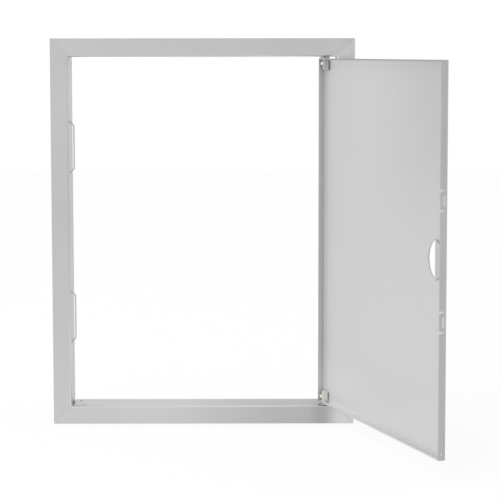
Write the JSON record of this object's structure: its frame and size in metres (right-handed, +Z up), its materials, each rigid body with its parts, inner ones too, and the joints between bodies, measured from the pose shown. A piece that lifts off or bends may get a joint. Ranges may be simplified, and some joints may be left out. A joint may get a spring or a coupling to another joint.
{
  "type": "metal access panel",
  "caption": "Flush metal access panel: a flanged collar frame with a folded leaf that swings on two pivot pins, a finger opening and wire latch springs.",
  "frame": {"origin": "middle of the panel's opening, in the plane of the flange's rear face, where the flange meets the wall", "axes": "+X to the hinge side, +Y into the wall, +Z up; the front of the panel faces -Y"},
  "size_m": [0.4312, 0.3097, 0.455],
  "materials": {
    "frame_steel": "brushed satin, grain along each member",
    "leaf_steel": "brushed satin outside, soft matt inside",
    "pin_steel": "plain drawn steel",
    "spring_wire": "drawn spring wire",
    "ivory_plastic": "semi-matt ivory moulding"
  },
  "bodies": {
    "frame": {"frame_top": "frame_steel", "frame_bottom": "frame_steel", "frame_left": "frame_steel", "frame_right": "frame_steel", "corner_angle_top_left": "frame_steel", "corner_angle_top_right": "frame_steel", "corner_angle_bottom_left": "frame_steel", "corner_angle_bottom_right": "frame_steel", "rivets_top_left": "pin_steel", "rivets_top_right": "pin_steel", "rivets_bottom_left": "pin_steel", "rivets_bottom_right": "pin_steel", "latch_spring_upper": "spring_wire", "latch_spring_lower": "spring_wire"},
    "leaf": {"leaf_pan": "leaf_steel", "hinge_block_top": "ivory_plastic", "hinge_block_bottom": "ivory_plastic", "hinge_pin_top": "pin_steel", "hinge_pin_bottom": "pin_steel", "hinge_washer_top": "pin_steel", "hinge_washer_bottom": "pin_steel"}
  },
  "joints": [
    {"name": "leaf_hinge", "type": "hinge", "parent": "frame", "child": "leaf", "pos_m": [0.1425, 0.0045, 0], "axis": [0, 0, 1], "range_deg": [-111, 23]}
  ]
}
